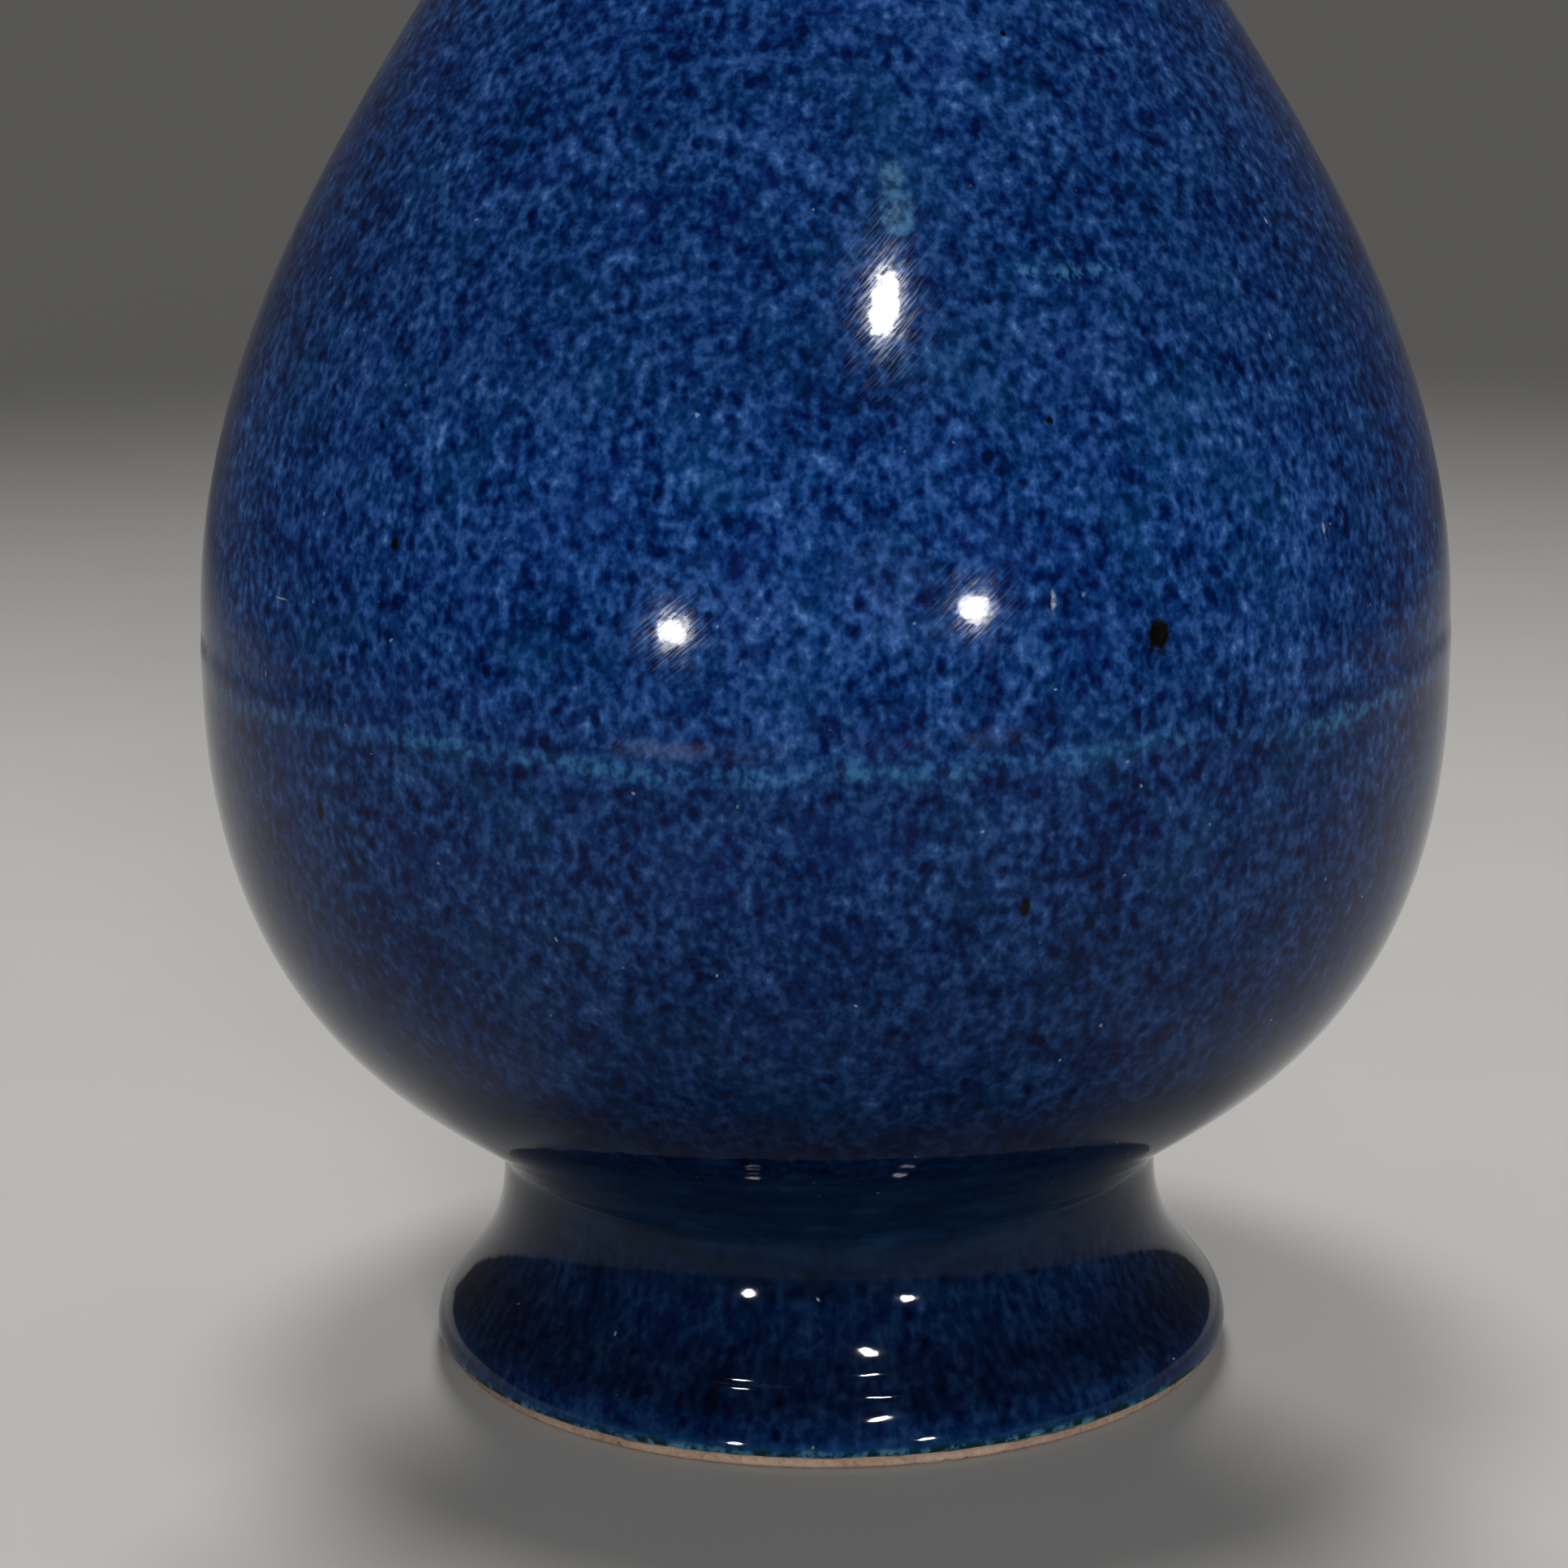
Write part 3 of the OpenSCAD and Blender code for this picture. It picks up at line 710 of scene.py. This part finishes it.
# Each mark has a ragged outline. It is whole up to a share of its size, and ends just past its edge.
mark_edge = 1.15
ragging = add(tree, "TexNoise", {"Vector": mm, "Scale": 1 / 1.1, "Detail": 2}, out="Color")
ragging = add(tree, "VectorMath", {0: ragging, 1: (1.1, 1.1, 1.1), 2: (-0.55, -0.55, -0.55)},
              operation="MULTIPLY_ADD")
marks = {}
for name, spots, whole in (("iron", iron_spots, 0.6), ("scuff", scuffs, 0.3), ("painted_reflection", painted_reflection_patches, 0.5),
                           ("line", thin_lines, 0.0)):
    marks[name] = 0.0
    for place, level, width, length in spots:
        wall_r = float(np.interp(level, wall_line[:, 1], wall_line[:, 0]))
        at = (wall_r * math.cos(math.radians(place)), wall_r * math.sin(math.radians(place)), level)
        offset = add(tree, "VectorMath", {0: mm, 1: at}, operation="SUBTRACT")
        offset = add(tree, "VectorMath", {0: offset, 1: (2 / width, 2 / width, 2 / length), 2: ragging},
                     operation="MULTIPLY_ADD")
        distance = add(tree, "VectorMath", {0: offset}, operation="LENGTH", out="Value")
        spot = add(tree, "MapRange", {0: distance, 1: mark_edge, 2: whole},
                   interpolation_type="SMOOTHSTEP")
        marks[name] = add(tree, "Math", {0: marks[name], 1: spot}, operation="MAXIMUM")
# Painted reflection: the patch turns the blue towards a pale grey-blue, with the flecks showing through.
painted_reflection_tone = add(tree, "MapRange", {0: fleck, 1: 0.38, 2: 0.6, 3: 0.08, 4: 0.44})
painted_reflection_tone = add(tree, "Math", {0: marks["painted_reflection"], 1: painted_reflection_tone}, operation="MULTIPLY")
blue = add(tree, "Mix", {0: painted_reflection_tone, 6: blue, 7: linear("#4d7a97")}, out=2, data_type="RGBA")
turquoise = add(tree, "MapRange", {0: fleck, 1: 0.46, 2: 0.62, 4: 0.34}, interpolation_type="SMOOTHSTEP")
turquoise = add(tree, "Math", {0: marks["line"], 1: turquoise}, operation="MULTIPLY")
blue = add(tree, "Mix", {0: turquoise, 6: blue, 7: linear("#457f9c")}, out=2, data_type="RGBA")
burnt = add(tree, "ValToRGB", {0: broken},
            stops=[(0.4, "#020305"), (0.6, "#060606"), (0.72, "#120e0c")])
blue = add(tree, "Mix", {0: marks["iron"], 6: blue, 7: burnt}, out=2, data_type="RGBA")
# Pin holes, up to 0.7 mm wide, lie about 20 mm apart and look more or less pale with dust; the
# pale paint also stands in for small glints at their edges, a painted highlight.
pin_places = add(tree, "VectorMath", {0: mm, 1: ragging})
pins = add(tree, "TexVoronoi", {"Vector": pin_places, "Scale": 1 / 6.5}, out=None).outputs
pin = add(tree, "MapRange", {0: pins["Distance"], 1: 0.055, 2: 0.015, 4: 0.8},
          interpolation_type="SMOOTHSTEP")
pin = add(tree, "Math", {0: pin, 1: pins["Color"]}, operation="MULTIPLY")
scuff = add(tree, "MapRange", {0: ragging, 1: -0.07, 2: 0.03, 3: 0.25}, interpolation_type="SMOOTHSTEP")
scuff = add(tree, "Math", {0: marks["scuff"], 1: scuff}, operation="MULTIPLY")
pale_marks = add(tree, "Math", {0: scuff, 1: pin}, operation="MAXIMUM")
pale_marks_and_glints = add(tree, "Math", {0: pale_marks, 1: 0.55}, operation="MULTIPLY")
blue = add(tree, "Mix", {0: pale_marks_and_glints, 6: blue, 7: linear("#a9b4c0")}, out=2, data_type="RGBA")
tree.links.new(blue, shader.inputs["Base Color"])

# Hairline scratches run aslant round the belly. They are too fine for the picture, so they are
# drawn about 0.3 mm wide.
scratch_r = 95.0
scratch_slant = math.radians(-40)
girth = add(tree, "Math", {0: angle, 1: scratch_r}, operation="MULTIPLY")
flat = add(tree, "CombineXYZ", {0: girth, 1: height})
slant = add(tree, "Mapping", {0: flat, "Rotation": (0, 0, scratch_slant)})
slant = add(tree, "VectorMath", {0: slant, 1: (0.09, 1.0, 1.0)}, operation="MULTIPLY")
hairs = add(tree, "TexNoise", {"Vector": slant, "Scale": 1 / 0.32, "Detail": 2})
hairs = add(tree, "MapRange", {0: hairs, 1: 0.34, 2: 0.74}, interpolation_type="SMOOTHSTEP")
rubbed = add(tree, "MapRange", {0: height, 1: 55.0, 2: 85.0, 4: 0.1}, interpolation_type="SMOOTHSTEP")
hairs = add(tree, "Math", {0: hairs, 1: rubbed}, operation="MULTIPLY")
# The step above the joint is where the belly is rubbed most, in patches.
worn = add(tree, "Math", {0: above, 1: 3.2}, operation="SUBTRACT")
worn = add(tree, "Math", {0: worn}, operation="ABSOLUTE")
worn = add(tree, "MapRange", {0: worn, 1: 2.8, 2: 0.6}, interpolation_type="SMOOTHSTEP")
worn = add(tree, "Math", {0: worn, 1: gaps}, operation="MULTIPLY")
gloss = add(tree, "Math", {0: hairs, 1: 0.05}, operation="ADD")
gloss = add(tree, "Math", {0: worn, 1: 0.17, 2: gloss}, operation="MULTIPLY_ADD")
gloss = add(tree, "Math", {0: pale_marks, 1: 0.4, 2: gloss}, operation="MULTIPLY_ADD")
tree.links.new(gloss, shader.inputs["Roughness"])
shader.inputs["IOR"].default_value = 1.5
shader.inputs["Specular IOR Level"].default_value = 0.13
# The skin of the glaze has a faint peel, and the burnt spots are pitted.
peel = add(tree, "TexNoise", {"Vector": mm, "Scale": 1 / 3.5, "Detail": 2, "Roughness": 0.5})
pits = add(tree, "Math", {0: marks["iron"], 1: -0.7, 2: peel}, operation="MULTIPLY_ADD")
tree.links.new(add(tree, "Bump", {"Height": pits, "Distance": 0.00005, "Strength": 0.5}),
               shader.inputs["Normal"])
outer_glaze.data.materials.append(cobalt)
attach(outer_glaze, "root")
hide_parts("outer_glaze")


# Table
# A wide sheet of studio paper that the vase stands on: matt, with a painted pool of light that
# keeps it pale round the vase and fades it to grey further out. It lies a hair below the foot, so
# that their faces don't meet in one plane.
paper_r = 14.0
paper_points = 96
paper_drop = 0.0001
shape = bmesh.new()
bmesh.ops.create_circle(shape, cap_ends=True, radius=paper_r, segments=paper_points)
sheet = bpy.data.meshes.new("studio_paper")
shape.to_mesh(sheet)
shape.free()
table = bpy.data.objects.new("studio_paper", sheet)
table.location.z = -paper_drop
bpy.context.scene.collection.objects.link(table)

# Studio paper: dull and very slightly clouded, so that its tone isn't quite even. Its painted light
# fades from pale round the vase to grey further out.
paper, tree, shader, mm = new_finish("paper_with_painted_light")
haze = add(tree, "TexNoise", {"Vector": mm, "Scale": 1 / 120, "Detail": 4, "Roughness": 0.6})
near = add(tree, "ValToRGB", {0: haze}, stops=[(0.3, "#bab8b5"), (0.7, "#bebcb9")])
reach = add(tree, "VectorMath", {0: mm}, operation="LENGTH", out="Value")
shade = add(tree, "MapRange", {0: reach, 1: 160.0, 2: 1300.0}, interpolation_type="SMOOTHSTEP")
tree.links.new(add(tree, "Mix", {0: shade, 6: near, 7: linear("#585755")}, out=2, data_type="RGBA"),
               shader.inputs["Base Color"])
shader.inputs["Roughness"].default_value = 0.9
shader.inputs["Specular IOR Level"].default_value = 0.0
sheet.materials.append(paper)


# Light
# Wide soft lights from the front, behind and above give the plain level, and three small oval
# lamps in front give the bright glints on the glaze. Distances are in metres.
soft_away = 3
soft_width = math.radians(16)
lamp_away = 2.2


def towards(azimuth, elevation):
    """Direction to a light in degrees, with 0 in front of the vase and 90 on its right."""
    a, e = math.radians(azimuth), math.radians(elevation)
    return Vector((math.sin(a) * math.cos(e), -math.cos(a) * math.cos(e), math.sin(e)))


def hang(name, data, away, place):
    """Puts a light in the scene, facing back along the direction that it is seen in."""
    made = bpy.data.objects.new(name, data)
    made.location = place
    made.rotation_mode = "QUATERNION"
    made.rotation_quaternion = away.to_track_quat("Z", "Y")
    bpy.context.scene.collection.objects.link(made)
    return made


for name, azimuth, elevation, strength in (
        ("soft_key", 9, 12, 1.5), ("soft_left", -12, 6, 0.8), ("soft_right", 14, 8, 0.9),
        ("soft_back", 180, 30, 2.2), ("soft_top", -160, 80, 1.2)):
    soft = bpy.data.lights.new(name, "SUN")
    soft.energy = strength
    soft.angle = soft_width
    away = towards(azimuth, elevation)
    lamp = hang(name, soft, away, away * soft_away)
    lamp.visible_glossy = False
# Each oval lamp hangs on a line from the place of its glint, given in mm, and may be tilted.
for name, glint_place, azimuth, elevation, watts, width, length, tilt in (
        ("oval_top", (8.4, -80.5, 171.9), 15.6, 45.1, 24.0, 0.145, 0.255, -45),
        ("oval_left", (-20.3, -92.0, 130.5), -26.8, 4.0, 13.0, 0.195, 0.15, 0),
        ("oval_right", (19.4, -91.8, 133.0), 25.8, 6.9, 13.0, 0.195, 0.15, 0)):
    glint = bpy.data.lights.new(name, "AREA")
    glint.shape = "ELLIPSE"
    glint.size = width
    glint.size_y = length
    glint.energy = watts
    away = towards(azimuth, elevation)
    lamp = hang(name, glint, away, Vector(glint_place) / 1000 + away * lamp_away)
    lamp.rotation_quaternion @= Quaternion((0, 0, 1), math.radians(tilt))
    lamp.visible_diffuse = False

world = bpy.data.worlds.new("plain_room")
bpy.context.scene.world = world
world.use_nodes = True
room = world.node_tree.nodes["Background"]
room.inputs["Color"].default_value = linear("#ffffff")
room.inputs["Strength"].default_value = 0.08


# Camera
# It stands close in front and a little above the belly, as the picture was taken, so the vase
# fills the frame from its shoulder to the table.
photo_px = 1932
focal_px = 5000
film_mm = 36
camera_place = (0, -0.6142, 0.2302)
pitch, roll, yaw = (math.radians(v) for v in (12.995, -0.489, -0.598))
ahead = Vector((0, math.cos(pitch), -math.sin(pitch)))
up = Vector((0, math.sin(pitch), math.cos(pitch)))
right = Vector((1, 0, 0))
forward = ahead * math.cos(yaw) + right * math.sin(yaw)
right = right * math.cos(yaw) - ahead * math.sin(yaw)
x_axis = right * math.cos(roll) + up * math.sin(roll)
y_axis = up * math.cos(roll) - right * math.sin(roll)
view = bpy.data.cameras.new("photo_view")
view.sensor_width = film_mm
view.lens = film_mm * focal_px / photo_px
view.clip_start = 0.02
view.clip_end = 60
camera = bpy.data.objects.new("photo_view", view)
camera.matrix_world = Matrix((x_axis, y_axis, -forward)).transposed().to_4x4()
camera.location = camera_place
bpy.context.scene.collection.objects.link(camera)
bpy.context.scene.camera = camera
bpy.context.scene.view_settings.view_transform = "Standard"
